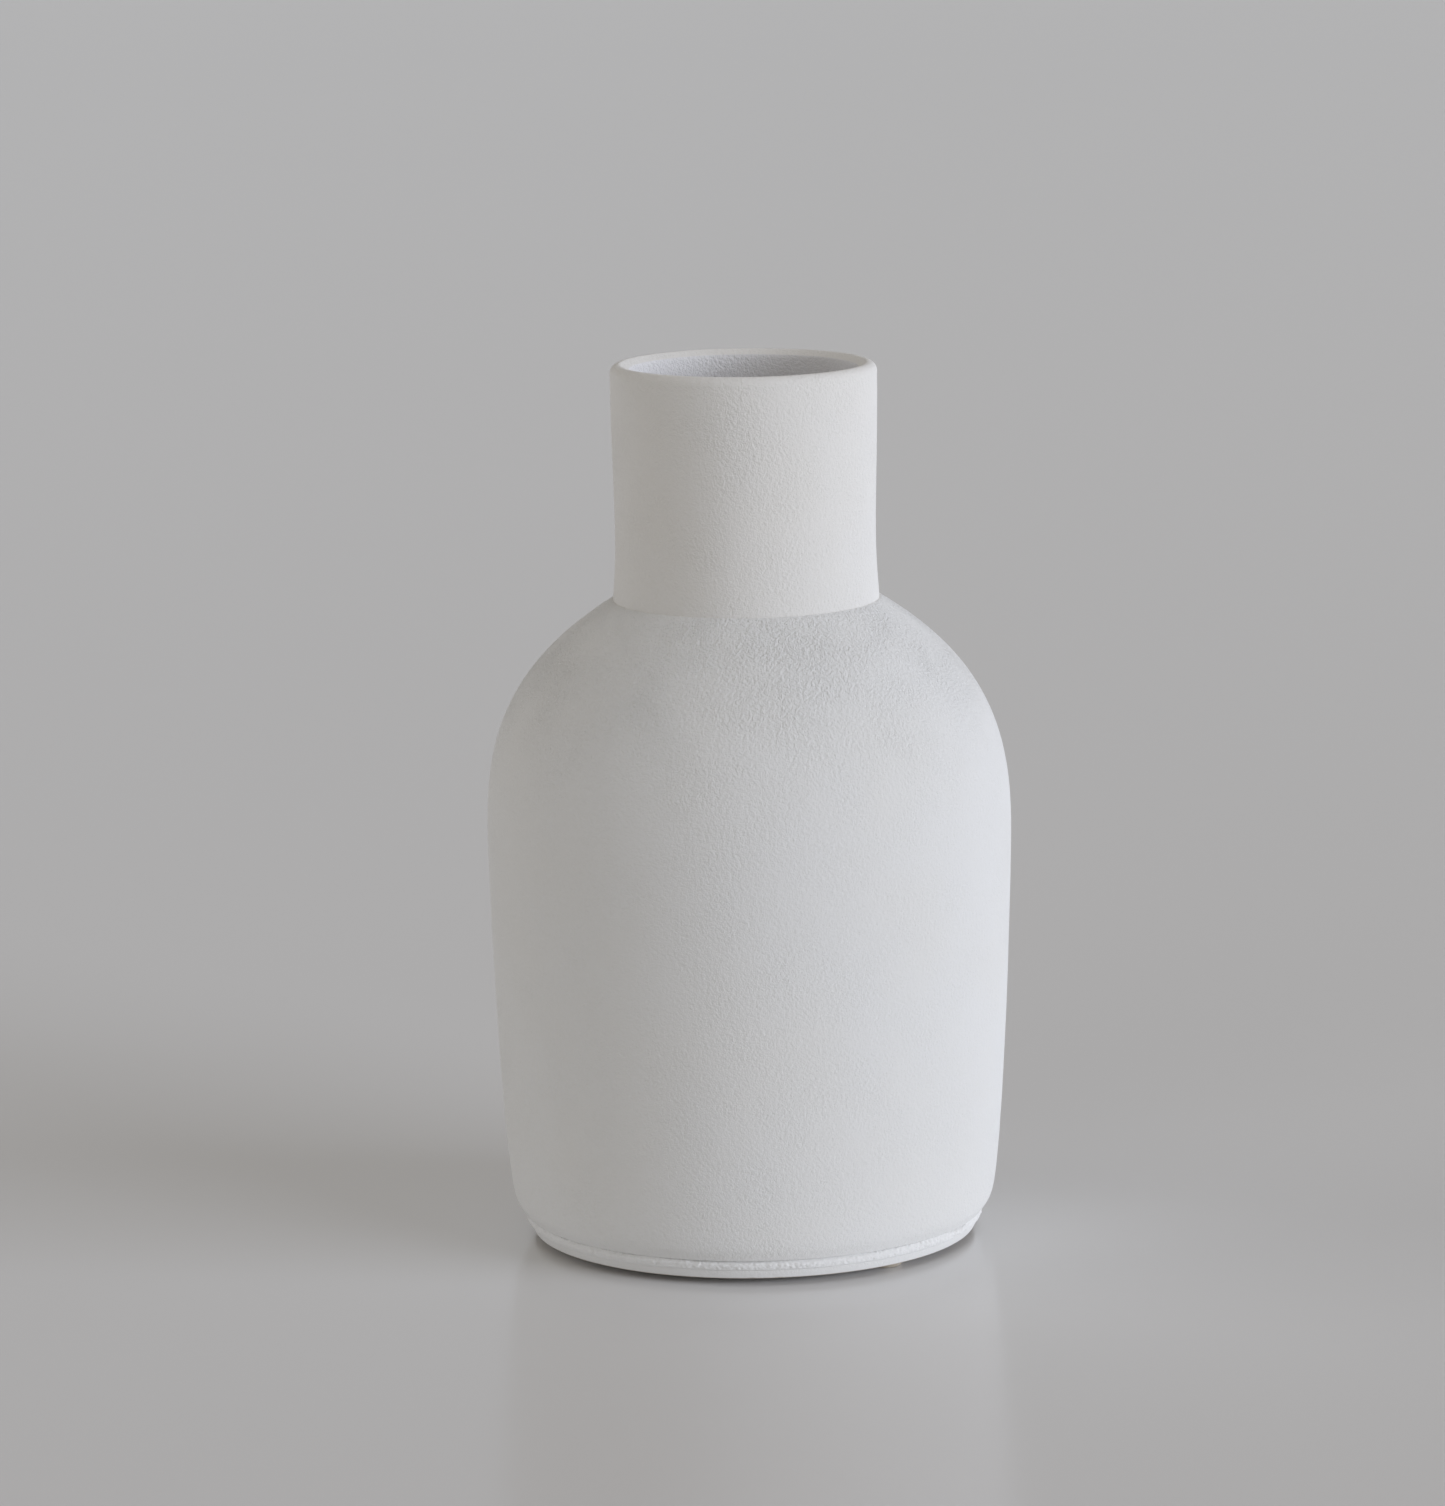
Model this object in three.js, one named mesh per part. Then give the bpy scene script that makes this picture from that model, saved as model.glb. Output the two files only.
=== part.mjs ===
// A matt white ceramic bud vase, in millimetres, +Z up.
// The origin is on the vase's axis, on the surface that it stands on.
// It is made in three clay pieces (a base disc, a bellied body and a neck collar), which are luted together
// with slip, lined with glaze so that they hold water, and stood on three stick-on bumpers.

import * as THREE from "three";

// Bumpers under the base
const BUMPER_RADIUS = 3;
const BUMPER_HEIGHT = 1;
const BUMPER_CHAMFER = 0.3;
const ADHESIVE_RADIUS = 2.8;
const ADHESIVE_THICKNESS = 0.2;
const BUMPER_CIRCLE_RADIUS = 33.2;
const BUMPER_SITES = [
  { place: "front", degrees: -49 },
  { place: "rear", degrees: 71 },
  { place: "left", degrees: 191 },
];

// Heights of the fired clay, from the underside of the base disc
const SEAM_HEIGHT = 3;
const SEAM_THICKNESS = 0.4;
const BEVEL_HEIGHT = 4.9;
const WALL_HEIGHT = 8;
const BELLY_HEIGHT = 69.7;
const COLLAR_SEAT_HEIGHT = 106;
const COLLAR_SEAM_HEIGHT = 108.8;
const COLLAR_WAIST_HEIGHT = 119;
const VASE_HEIGHT = 148.8;

// Outer radii
const BASE_RADIUS = 37.4;
const SEAM_RADIUS = 39;
const BEAD_RADIUS = 39.45;
const BEVEL_RADIUS = 40.45;
const WALL_RADIUS = 41.4;
const BELLY_RADIUS = 44.55;
const COLLAR_SEAM_RADIUS = 22.55;
const COLLAR_WAIST_RADIUS = 22.05;
const COLLAR_TOP_RADIUS = 22.5;

// How far the outer curves' handles lie from their ends: outwards, and up or down
const BEVEL_ROUND = { out: 0.6, up: 1 };
const WALL_START = { out: 1.75, up: 11 };
const WALL_END_DOWN = 9.4;
const SHOULDER_START_UP = 14;
const SHOULDER_END = { out: 19.1, down: 11.65 };
const COLLAR_WAIST_DOWN = 4;

// Walls, hollows and the steps that locate one piece in the next
const MOUTH_RADIUS = 19.1;
const BODY_WALL = 4;
const FLOOR_HEIGHT = 6;
const SPIGOT_RADIUS = 36.4;
const SPIGOT_CLEARANCE = 0.3;
const COLLAR_CLEARANCE = 0.2;
const BASE_EDGE_ROUND = 0.5;
const TRIM_RADIUS = 28.5;
const TRIM_DEPTH = 0.8;
const LINER_THICKNESS = 0.5;
const LINER_GAP = 0.1;

const SAME_POINT = 1e-6;
const TURN_STEPS = 48;
const BUMPER_STEPS = 16;
const CLAY_BOTTOM = BUMPER_HEIGHT + ADHESIVE_THICKNESS;
const BODY_SOCKET_RADIUS = SPIGOT_RADIUS + SPIGOT_CLEARANCE;
const SEAM_TOP = SEAM_HEIGHT + SEAM_THICKNESS;

const MATT_GLAZE = { color: 0xe4e4e2, roughness: 0.9, metalness: 0 };
const BARE_SLIP = { color: 0xeeeeec, roughness: 0.8, metalness: 0 };
const GLOSS_GLAZE = { color: 0xe9e9e6, roughness: 0.2, metalness: 0 };
const CLEAR_RUBBER = { color: 0xd2cdbf, roughness: 0.4, metalness: 0 };
const ADHESIVE_FILM = { color: 0xb9a98c, roughness: 0.5, metalness: 0 };

// A point of an outline: radius from the axis, height above the piece's bottom.
const at = (radius, height) => new THREE.Vector2(radius, height);
const line = (...points) => points;
const quadratic = (steps, ...controls) => new THREE.QuadraticBezierCurve(...controls).getPoints(steps);
const cubic = (steps, ...controls) => new THREE.CubicBezierCurve(...controls).getPoints(steps);

// Joins an outline's stretches end to end, and keeps a point that two stretches share once.
function outline(...stretches) {
  const points = [];
  for (const point of stretches.flat()) {
    const last = points[points.length - 1];
    if (!last || last.distanceTo(point) > SAME_POINT) points.push(point);
  }
  return points;
}

// Turns an outline about the Z axis. One that doesn't start on the axis is a ring's, and is closed here.
function turned(name, points, finish, bottom = CLAY_BOTTOM, steps = TURN_STEPS) {
  const startsOnAxis = points[0].x === 0;
  const closed = startsOnAxis ? points : [...points, points[0].clone()];
  const geometry = new THREE.LatheGeometry(closed, steps);
  geometry.rotateX(Math.PI / 2);
  const mesh = new THREE.Mesh(geometry, new THREE.MeshStandardMaterial(finish));
  mesh.name = name;
  mesh.position.z = bottom;
  return mesh;
}

// The disc that closes the body: a trimmed underside, a flared band and a spigot that stands in the body.
function makeBaseDisc() {
  return turned(
    "base_disc",
    outline(
      line(at(0, TRIM_DEPTH), at(TRIM_RADIUS - TRIM_DEPTH, TRIM_DEPTH), at(TRIM_RADIUS, 0)),
      quadratic(
        3,
        at(BASE_RADIUS - BASE_EDGE_ROUND, 0),
        at(BASE_RADIUS, 0),
        at(BASE_RADIUS + BASE_EDGE_ROUND / 2, BASE_EDGE_ROUND),
      ),
      line(at(SEAM_RADIUS, SEAM_HEIGHT), at(SPIGOT_RADIUS, SEAM_HEIGHT)),
      line(at(SPIGOT_RADIUS, FLOOR_HEIGHT), at(0, FLOOR_HEIGHT)),
    ),
    MATT_GLAZE,
  );
}

// The slip between the base disc and the body, squeezed out as a small bead round the seam.
function makeBaseSlipJoint() {
  return turned(
    "base_slip_joint",
    outline(
      line(at(BODY_SOCKET_RADIUS, SEAM_HEIGHT), at(SEAM_RADIUS, SEAM_HEIGHT)),
      line(at(BEAD_RADIUS, SEAM_HEIGHT + SEAM_THICKNESS / 4), at(BEAD_RADIUS, SEAM_TOP)),
      line(at(BODY_SOCKET_RADIUS, SEAM_TOP)),
    ),
    BARE_SLIP,
  );
}

// The inside of the body from the floor up to the seat of the collar, drawn inwards by a distance.
function bodyHollow(inset, floor) {
  const belly = BELLY_RADIUS - BODY_WALL - inset;
  const mouth = MOUTH_RADIUS - inset;
  const mouthHeight = COLLAR_SEAT_HEIGHT - BODY_WALL - inset;
  return outline(
    cubic(
      5,
      at(BODY_SOCKET_RADIUS - inset, floor),
      at(belly - WALL_START.out, WALL_HEIGHT + WALL_START.up),
      at(belly, BELLY_HEIGHT - 2 * WALL_END_DOWN),
      at(belly, BELLY_HEIGHT),
    ),
    cubic(
      9,
      at(belly, BELLY_HEIGHT),
      at(belly, BELLY_HEIGHT + SHOULDER_START_UP - BODY_WALL / 2),
      at(mouth + SHOULDER_END.out, mouthHeight - SHOULDER_END.down),
      at(mouth, mouthHeight),
    ),
  );
}

// The bellied body: a bevelled foot, a nearly straight wall, a round shoulder and a seat for the collar.
function makeBodyShell() {
  const seatRadius = COLLAR_SEAM_RADIUS + COLLAR_CLEARANCE;
  const wallStart = at(WALL_RADIUS, WALL_HEIGHT);
  const belly = at(BELLY_RADIUS, BELLY_HEIGHT);
  return turned(
    "body_shell",
    outline(
      line(at(BEAD_RADIUS, SEAM_TOP)),
      quadratic(
        3,
        at(BEVEL_RADIUS, BEVEL_HEIGHT),
        at(BEVEL_RADIUS + BEVEL_ROUND.out, BEVEL_HEIGHT + BEVEL_ROUND.up),
        wallStart,
      ),
      cubic(
        7,
        wallStart,
        at(WALL_RADIUS + WALL_START.out, WALL_HEIGHT + WALL_START.up),
        at(BELLY_RADIUS, BELLY_HEIGHT - WALL_END_DOWN),
        belly,
      ),
      cubic(
        14,
        belly,
        at(BELLY_RADIUS, BELLY_HEIGHT + SHOULDER_START_UP),
        at(seatRadius + SHOULDER_END.out, COLLAR_SEAM_HEIGHT - SHOULDER_END.down),
        at(seatRadius, COLLAR_SEAM_HEIGHT),
      ),
      line(at(seatRadius, COLLAR_SEAT_HEIGHT), at(MOUTH_RADIUS, COLLAR_SEAT_HEIGHT)),
      bodyHollow(0, FLOOR_HEIGHT).reverse(),
      line(at(BODY_SOCKET_RADIUS, SEAM_TOP)),
    ),
    MATT_GLAZE,
  );
}

// The slip washer that beds the collar in its seat.
function makeNeckSlipJoint() {
  const inner = MOUTH_RADIUS + COLLAR_CLEARANCE;
  const outer = COLLAR_SEAM_RADIUS;
  const bottom = COLLAR_SEAT_HEIGHT;
  const top = bottom + SEAM_THICKNESS;
  return turned(
    "neck_slip_joint",
    line(at(inner, bottom), at(outer, bottom), at(outer, top), at(inner, top)),
    BARE_SLIP,
  );
}

// The collar: a tube with a slight waist, flared where it meets the shoulder, with a fully rounded lip.
function makeNeckCollar() {
  const bottom = COLLAR_SEAT_HEIGHT + SEAM_THICKNESS;
  const lipRound = (COLLAR_TOP_RADIUS - MOUTH_RADIUS) / 2;
  const lipHeight = VASE_HEIGHT - lipRound;
  const lip = new THREE.ArcCurve(MOUTH_RADIUS + lipRound, lipHeight, lipRound, 0, Math.PI, false);
  const waist = at(COLLAR_WAIST_RADIUS, COLLAR_WAIST_HEIGHT);
  const handle = (lipHeight - COLLAR_WAIST_HEIGHT) / 3;
  return turned(
    "neck_collar",
    outline(
      line(at(COLLAR_SEAM_RADIUS, bottom)),
      quadratic(
        4,
        at(COLLAR_SEAM_RADIUS, COLLAR_SEAM_HEIGHT),
        at(COLLAR_WAIST_RADIUS, COLLAR_WAIST_HEIGHT - COLLAR_WAIST_DOWN),
        waist,
      ),
      cubic(
        4,
        waist,
        at(COLLAR_WAIST_RADIUS, COLLAR_WAIST_HEIGHT + handle),
        at(COLLAR_TOP_RADIUS, lipHeight - handle),
        at(COLLAR_TOP_RADIUS, lipHeight),
      ),
      lip.getPoints(8),
      line(at(MOUTH_RADIUS, bottom)),
    ),
    MATT_GLAZE,
  );
}

// The liner glaze: a thin fired coat over the floor and up the inside of the body.
function makeLinerGlaze() {
  const liningTop = FLOOR_HEIGHT + LINER_THICKNESS;
  return turned(
    "liner_glaze",
    outline(
      line(at(0, FLOOR_HEIGHT)),
      bodyHollow(LINER_GAP, FLOOR_HEIGHT),
      bodyHollow(LINER_GAP + LINER_THICKNESS, liningTop).reverse(),
      line(at(0, liningTop)),
    ),
    GLOSS_GLAZE,
  );
}

// One bumper, and the adhesive film that holds it to the base disc.
function makeBumper({ place, degrees }) {
  const angle = THREE.MathUtils.degToRad(degrees);
  const pad = line(
    at(0, 0),
    at(BUMPER_RADIUS - BUMPER_CHAMFER, 0),
    at(BUMPER_RADIUS, BUMPER_CHAMFER),
    at(BUMPER_RADIUS, BUMPER_HEIGHT),
    at(0, BUMPER_HEIGHT),
  );
  const film = line(
    at(0, 0),
    at(ADHESIVE_RADIUS, 0),
    at(ADHESIVE_RADIUS, ADHESIVE_THICKNESS),
    at(0, ADHESIVE_THICKNESS),
  );
  const site = new THREE.Group();
  site.position.set(BUMPER_CIRCLE_RADIUS * Math.cos(angle), BUMPER_CIRCLE_RADIUS * Math.sin(angle), 0);
  site.add(
    turned(`bumper_${place}`, pad, CLEAR_RUBBER, 0, BUMPER_STEPS),
    turned(`bumper_${place}_adhesive`, film, ADHESIVE_FILM, BUMPER_HEIGHT, BUMPER_STEPS),
  );
  return site;
}

const budVase = new THREE.Group();
budVase.add(
  makeBaseDisc(),
  makeBaseSlipJoint(),
  makeBodyShell(),
  makeNeckSlipJoint(),
  makeNeckCollar(),
  makeLinerGlaze(),
  ...BUMPER_SITES.map(makeBumper),
);

export default budVase;
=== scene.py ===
import math

import bmesh
import bpy
from bpy.props import FloatProperty, FloatVectorProperty, IntProperty, PointerProperty
from bpy.types import Operator, Panel, PropertyGroup
from mathutils import Matrix, Vector, noise
from mathutils.geometry import interpolate_bezier


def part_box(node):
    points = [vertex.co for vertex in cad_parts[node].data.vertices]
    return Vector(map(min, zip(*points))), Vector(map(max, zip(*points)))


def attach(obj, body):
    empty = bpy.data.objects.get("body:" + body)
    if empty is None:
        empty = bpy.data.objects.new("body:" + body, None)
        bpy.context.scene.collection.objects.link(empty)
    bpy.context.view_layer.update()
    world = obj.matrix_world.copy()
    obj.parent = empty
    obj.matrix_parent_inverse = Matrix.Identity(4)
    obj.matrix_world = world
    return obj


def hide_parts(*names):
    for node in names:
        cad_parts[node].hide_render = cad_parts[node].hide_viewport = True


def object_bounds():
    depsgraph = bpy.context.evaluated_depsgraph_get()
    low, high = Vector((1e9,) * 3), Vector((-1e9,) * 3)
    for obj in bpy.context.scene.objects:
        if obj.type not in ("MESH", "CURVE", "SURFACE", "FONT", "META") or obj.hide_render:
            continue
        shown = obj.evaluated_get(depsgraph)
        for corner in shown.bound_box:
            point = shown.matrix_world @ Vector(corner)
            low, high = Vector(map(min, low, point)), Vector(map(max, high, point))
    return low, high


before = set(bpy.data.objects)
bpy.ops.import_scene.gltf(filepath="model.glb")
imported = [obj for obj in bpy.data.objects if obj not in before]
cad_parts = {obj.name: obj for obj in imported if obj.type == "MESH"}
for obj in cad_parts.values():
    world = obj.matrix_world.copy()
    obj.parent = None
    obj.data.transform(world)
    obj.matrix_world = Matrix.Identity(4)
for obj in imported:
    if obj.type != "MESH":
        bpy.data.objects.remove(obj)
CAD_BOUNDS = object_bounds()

bl_info = {
    "name": "Ceramic Bud Vase",
    "version": (1, 0, 0),
    "blender": (4, 5, 0),
    "location": "3D View > Sidebar > Bud Vase",
    "description": "Builds the clay pieces, glazes, slip joints and bumpers of a matt white bud vase",
    "category": "Object",
}

MM = 0.001
BODY = "root"

DISC_LOW, DISC_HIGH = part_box("base_disc")
SEAM_LOW, SEAM_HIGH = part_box("base_slip_joint")
SHELL_LOW, SHELL_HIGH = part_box("body_shell")
SEAT_LOW, SEAT_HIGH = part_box("neck_slip_joint")
COLLAR_LOW, COLLAR_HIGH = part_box("neck_collar")
LINER_LOW, LINER_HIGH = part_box("liner_glaze")
BUMPER_PLACES = ("front", "rear", "left")

MERGE_DISTANCE = 0.0001 * MM
BEAD_STEPS, HAIRLINE_STEPS, COLLAR_STEPS, LINER_STEPS, BUMPER_STEPS = 1500, 720, 288, 240, 64
GLAZE_ROUGHNESS = 0.72


# ---------------------------------------------------------------- settings


class ClaySettings(PropertyGroup):
    """Sizes of the three clay pieces that the frame's boxes don't give"""

    mouth_radius: FloatProperty(
        name="Mouth Radius", description="Inside radius of the collar",
        default=19.1 * MM, unit="LENGTH", subtype="DISTANCE")
    wall: FloatProperty(
        name="Body Wall", description="Thickness of the body's wall at the belly",
        default=4.0 * MM, unit="LENGTH", subtype="DISTANCE")
    belly_height: FloatProperty(
        name="Belly Height", description="Height at which the body is widest",
        default=DISC_LOW.z + 69.7 * MM, unit="LENGTH", subtype="DISTANCE")
    foot_radius: FloatProperty(
        name="Foot Radius", description="Radius of the base disc at its underside",
        default=37.9 * MM, unit="LENGTH", subtype="DISTANCE")
    wall_foot_radius: FloatProperty(
        name="Wall Foot Radius", description="Radius at which the wall rounds over into the bevel",
        default=41.4 * MM, unit="LENGTH", subtype="DISTANCE")
    bevel_radius: FloatProperty(
        name="Bevel Radius", description="Radius at the top of the straight bevel",
        default=40.45 * MM, unit="LENGTH", subtype="DISTANCE")
    socket_radius: FloatProperty(
        name="Socket Radius", description="Inside radius of the body where the base disc's spigot stands",
        default=36.7 * MM, unit="LENGTH", subtype="DISTANCE")
    waist_radius: FloatProperty(
        name="Waist Radius", description="Smallest outside radius of the collar",
        default=22.05 * MM, unit="LENGTH", subtype="DISTANCE")
    lip_radius: FloatProperty(
        name="Lip Radius", description="Outside radius of the collar where the lip begins",
        default=22.5 * MM, unit="LENGTH", subtype="DISTANCE")
    lip_round: FloatProperty(
        name="Lip Rounding", description="Radius of the lip's outer edge",
        default=1.55 * MM, unit="LENGTH", subtype="DISTANCE")
    trim_radius: FloatProperty(
        name="Trim Radius", description="Radius of the hollow trimmed under the base disc",
        default=28.5 * MM, unit="LENGTH", subtype="DISTANCE")
    unevenness: FloatProperty(
        name="Unevenness", description="How far the hand-made surface wanders in and out",
        default=0.05 * MM, unit="LENGTH", subtype="DISTANCE", precision=5)
    turn_steps: IntProperty(
        name="Turn Steps", description="Segments round the large pieces", default=360, min=48, max=720)


class GlazeSettings(PropertyGroup):
    """Colours and grain of the finishes"""

    glaze_colour: FloatVectorProperty(
        name="Glaze", description="Colour of the matt outer glaze",
        default=(0.80, 0.80, 0.785), size=3, min=0, max=1, subtype="COLOR")
    slip_colour: FloatVectorProperty(
        name="Slip", description="Colour of the squeezed-out slip",
        default=(0.84, 0.84, 0.83), size=3, min=0, max=1, subtype="COLOR")
    clay_colour: FloatVectorProperty(
        name="Bare Clay", description="Colour of the unglazed underside",
        default=(0.62, 0.575, 0.51), size=3, min=0, max=1, subtype="COLOR")
    liner_colour: FloatVectorProperty(
        name="Liner Glaze", description="Colour of the glossy glaze inside the body",
        default=(0.82, 0.82, 0.80), size=3, min=0, max=1, subtype="COLOR")
    bumper_colour: FloatVectorProperty(
        name="Bumper", description="Tint of the clear bumpers",
        default=(0.66, 0.60, 0.50), size=3, min=0, max=1, subtype="COLOR")
    adhesive_colour: FloatVectorProperty(
        name="Adhesive", description="Tint of the bumpers' adhesive film",
        default=(0.72, 0.64, 0.50), size=3, min=0, max=1, subtype="COLOR")
    grain_size: FloatProperty(
        name="Grain Size", description="Width of one grain of the sandy glaze",
        default=0.58 * MM, unit="LENGTH", subtype="DISTANCE", precision=5)
    grain_depth: FloatProperty(
        name="Grain Depth", description="Height of the grain on the shoulder",
        default=0.32 * MM, unit="LENGTH", subtype="DISTANCE", precision=5)
    wall_grain: FloatProperty(
        name="Wall Grain", description="Share of the shoulder's grain that the body's wall has",
        default=0.33, min=0, max=1, subtype="FACTOR")
    neck_grain: FloatProperty(
        name="Neck Grain", description="Share of the shoulder's grain that the outside of the neck has",
        default=0.42, min=0, max=1, subtype="FACTOR")
    mouth_grain: FloatProperty(
        name="Mouth Grain", description="Share of the shoulder's grain that the inside of the neck has",
        default=0.8, min=0, max=1, subtype="FACTOR")
    base_grain: FloatProperty(
        name="Base Grain", description="Share of the shoulder's grain that the base band has",
        default=0.16, min=0, max=1, subtype="FACTOR")


class StageSettings(PropertyGroup):
    """Camera, light and floor"""

    camera_distance: FloatProperty(
        name="Distance", description="From the camera to the vase's axis, along the floor",
        default=1.0453, unit="LENGTH", subtype="DISTANCE")
    camera_height: FloatProperty(
        name="Height", description="Camera height above the floor",
        default=0.2710, unit="LENGTH", subtype="DISTANCE")
    camera_tilt: FloatProperty(
        name="Tilt", description="How far the camera looks down",
        default=math.radians(10.178), unit="ROTATION", subtype="ANGLE")
    camera_heading: FloatProperty(
        name="Heading", description="How far the camera turns left of the vase's axis",
        default=math.radians(0.241), unit="ROTATION", subtype="ANGLE")
    camera_roll: FloatProperty(
        name="Roll", description="How far the camera leans",
        default=math.radians(-0.799), unit="ROTATION", subtype="ANGLE")
    lens: FloatProperty(
        name="Lens", description="Focal length in millimetres on a 36 mm sensor", default=149.33)
    floor_colour: FloatVectorProperty(
        name="Floor", description="Colour of the pale floor",
        default=(0.84, 0.84, 0.84), size=3, min=0, max=1, subtype="COLOR")
    room_light: FloatVectorProperty(
        name="Room Light", description="Colour of the even light that the room gives",
        default=(0.246, 0.224, 0.197), size=3, min=0, max=1, subtype="COLOR")
    backdrop_colour: FloatVectorProperty(
        name="Backdrop", description="Colour of the room where it is seen or mirrored",
        default=(0.494, 0.500, 0.512), size=3, min=0, max=1, subtype="COLOR")


# ---------------------------------------------------------------- outlines


def at(radius, height):
    """A point of an outline, in the plane through the axis and +X."""
    return Vector((radius, 0.0, height))


def within(share):
    """A share kept between 0 and 1."""
    return min(1.0, max(0.0, share))


def straight(start, end, spacing):
    """Points from start to end, no further apart than the spacing."""
    steps = max(1, math.ceil((end - start).length / spacing))
    return [start.lerp(end, i / steps) for i in range(steps + 1)]


def bend(start, leave, arrive, end, spacing):
    """Points of the cubic curve from start to end, with a handle for leaving and one for arriving."""
    rough = interpolate_bezier(start, leave, arrive, end, 32)
    length = sum((b - a).length for a, b in zip(rough, rough[1:]))
    return interpolate_bezier(start, leave, arrive, end, max(3, math.ceil(length / spacing) + 1))


def arc(centre, radius, first, last, steps):
    """Points of an arc between two angles in degrees, where 0 is outwards and 90 is up."""
    angles = [math.radians(first + (last - first) * i / steps) for i in range(steps + 1)]
    return [centre + at(math.cos(a), math.sin(a)) * radius for a in angles]


def outline(*stretches):
    """Stretches joined end to end, with a point that two of them share kept once."""
    points = []
    for stretch in stretches:
        for point in stretch:
            if not points or (points[-1] - point).length > MERGE_DISTANCE:
                points.append(point)
    return points


def body_hollow(clay, inset, floor, spacing):
    """The inside of the body from the floor up to the seat of the collar, drawn inwards by a distance."""
    belly = SHELL_HIGH.x - clay.wall - inset
    mouth = clay.mouth_radius - inset
    top = SEAT_LOW.z - clay.wall - inset
    return outline(
        bend(at(clay.socket_radius - inset, floor), at(belly - 1.75 * MM, DISC_LOW.z + 19 * MM),
             at(belly, clay.belly_height - 18.8 * MM), at(belly, clay.belly_height), spacing),
        bend(at(belly, clay.belly_height), at(belly, clay.belly_height + 12 * MM),
             at(mouth + 19.1 * MM, top - 11.65 * MM), at(mouth, top), spacing),
    )


# ---------------------------------------------------------------- modelling


def turned(points, steps, centre=Vector((0, 0, 0)), ring=False):
    """A bmesh of the outline turned about the upright line through the centre. A ring's outline is closed."""
    bm = bmesh.new()
    verts = [bm.verts.new(point + centre) for point in points]
    pairs = list(zip(verts, verts[1:]))
    if ring:
        pairs.append((verts[-1], verts[0]))
    edges = [bm.edges.new(pair) for pair in pairs]
    bmesh.ops.spin(bm, geom=verts + edges, cent=centre, axis=(0, 0, 1), dvec=(0, 0, 0),
                   angle=math.tau, steps=steps, use_merge=True)
    bmesh.ops.remove_doubles(bm, verts=bm.verts, dist=MERGE_DISTANCE)
    bmesh.ops.recalc_face_normals(bm, faces=bm.faces)
    bm.normal_update()
    return bm


def shift_verts(bm, moves):
    """Moves each vertex by its own move."""
    for vert, move in zip(bm.verts, moves):
        vert.co += move
    bm.normal_update()


def wander(bm, amount, wavelength, seed, where):
    """Moves the vertices that pass the test in or out along their normals, by smooth noise."""
    shift = Vector((seed * 11.3, seed * 5.7, seed * 3.1))
    moves = []
    for vert in bm.verts:
        value = noise.fractal(vert.co / wavelength + shift, 0.9, 2.0, 2) if where(vert.co) else 0.0
        moves.append(vert.normal * (value * amount))
    shift_verts(bm, moves)


def finish_piece(bm, name, materials, node, sharp=40):
    """Makes the bmesh an object that rides on the vase, stands for a CAD node and has its materials."""
    mesh = bpy.data.meshes.new(name)
    bm.to_mesh(mesh)
    bm.free()
    for material in materials:
        mesh.materials.append(material)
    mesh.polygons.foreach_set("use_smooth", [True] * len(mesh.polygons))
    mesh.set_sharp_from_angle(angle=math.radians(sharp))
    piece = bpy.data.objects.new(name, mesh)
    bpy.context.scene.collection.objects.link(piece)
    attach(piece, BODY)
    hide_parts(node)


# ---------------------------------------------------------------- node helpers


def add(tree, kind, inputs=None, **settings):
    """A node with its settings, and its inputs set to a value or linked from a socket."""
    node = tree.nodes.new(kind)
    for key, value in settings.items():
        setattr(node, key, value)
    for key, value in (inputs or {}).items():
        socket = node.inputs[key]
        if isinstance(value, bpy.types.NodeSocket):
            tree.links.new(value, socket)
        else:
            socket.default_value = value
    return node


def maths(tree, operation, a, b=0.0, c=0.0):
    """The output of a Math node."""
    return add(tree, "ShaderNodeMath", {0: a, 1: b, 2: c}, operation=operation).outputs[0]


def fade(tree, value, low, high, start, end):
    """Maps a value from one range to another, smoothly and within it."""
    node = add(tree, "ShaderNodeMapRange",
               {"Value": value, "From Min": low, "From Max": high, "To Min": start, "To Max": end},
               interpolation_type="SMOOTHSTEP")
    return node.outputs["Result"]


def blend_colour(tree, share, first, second):
    """Mixes two colours by a share."""
    node = tree.nodes.new("ShaderNodeMix")
    node.data_type = "RGBA"
    for socket, value in ((node.inputs[0], share), (node.inputs[6], first), (node.inputs[7], second)):
        if isinstance(value, bpy.types.NodeSocket):
            tree.links.new(value, socket)
        else:
            socket.default_value = value
    return node.outputs[2]


def new_group(name, inputs, outputs):
    """A shader node group with named sockets, and its input and output nodes."""
    tree = bpy.data.node_groups.new(name, "ShaderNodeTree")
    for label, kind, default in inputs:
        socket = tree.interface.new_socket(name=label, in_out="INPUT", socket_type=kind)
        if default is not None:
            socket.default_value = default
    for label, kind in outputs:
        tree.interface.new_socket(name=label, in_out="OUTPUT", socket_type=kind)
    return tree, tree.nodes.new("NodeGroupInput").outputs, tree.nodes.new("NodeGroupOutput")


def new_material(name):
    """An empty material with its shader, and its Object coordinates."""
    material = bpy.data.materials.new(name)
    material.use_nodes = True
    tree = material.node_tree
    tree.nodes.clear()
    shader = tree.nodes.new("ShaderNodeBsdfPrincipled")
    output = tree.nodes.new("ShaderNodeOutputMaterial")
    tree.links.new(shader.outputs["BSDF"], output.inputs["Surface"])
    place = tree.nodes.new("ShaderNodeTexCoord").outputs["Object"]
    return material, tree, shader, place


def add_bump(tree, shader, height, depth):
    """Bumps the shader's surface by a height from 0 to 1 times a depth."""
    bump = add(tree, "ShaderNodeBump", {"Strength": 1.0, "Distance": depth, "Height": height})
    tree.links.new(bump.outputs["Normal"], shader.inputs["Normal"])


def opaque(colour):
    """A colour with full alpha."""
    return (*colour, 1.0)


def tinted(colour, red, green, blue):
    """A colour with each part scaled."""
    return (colour[0] * red, colour[1] * green, colour[2] * blue)


# ---------------------------------------------------------------- shared effects


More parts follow.
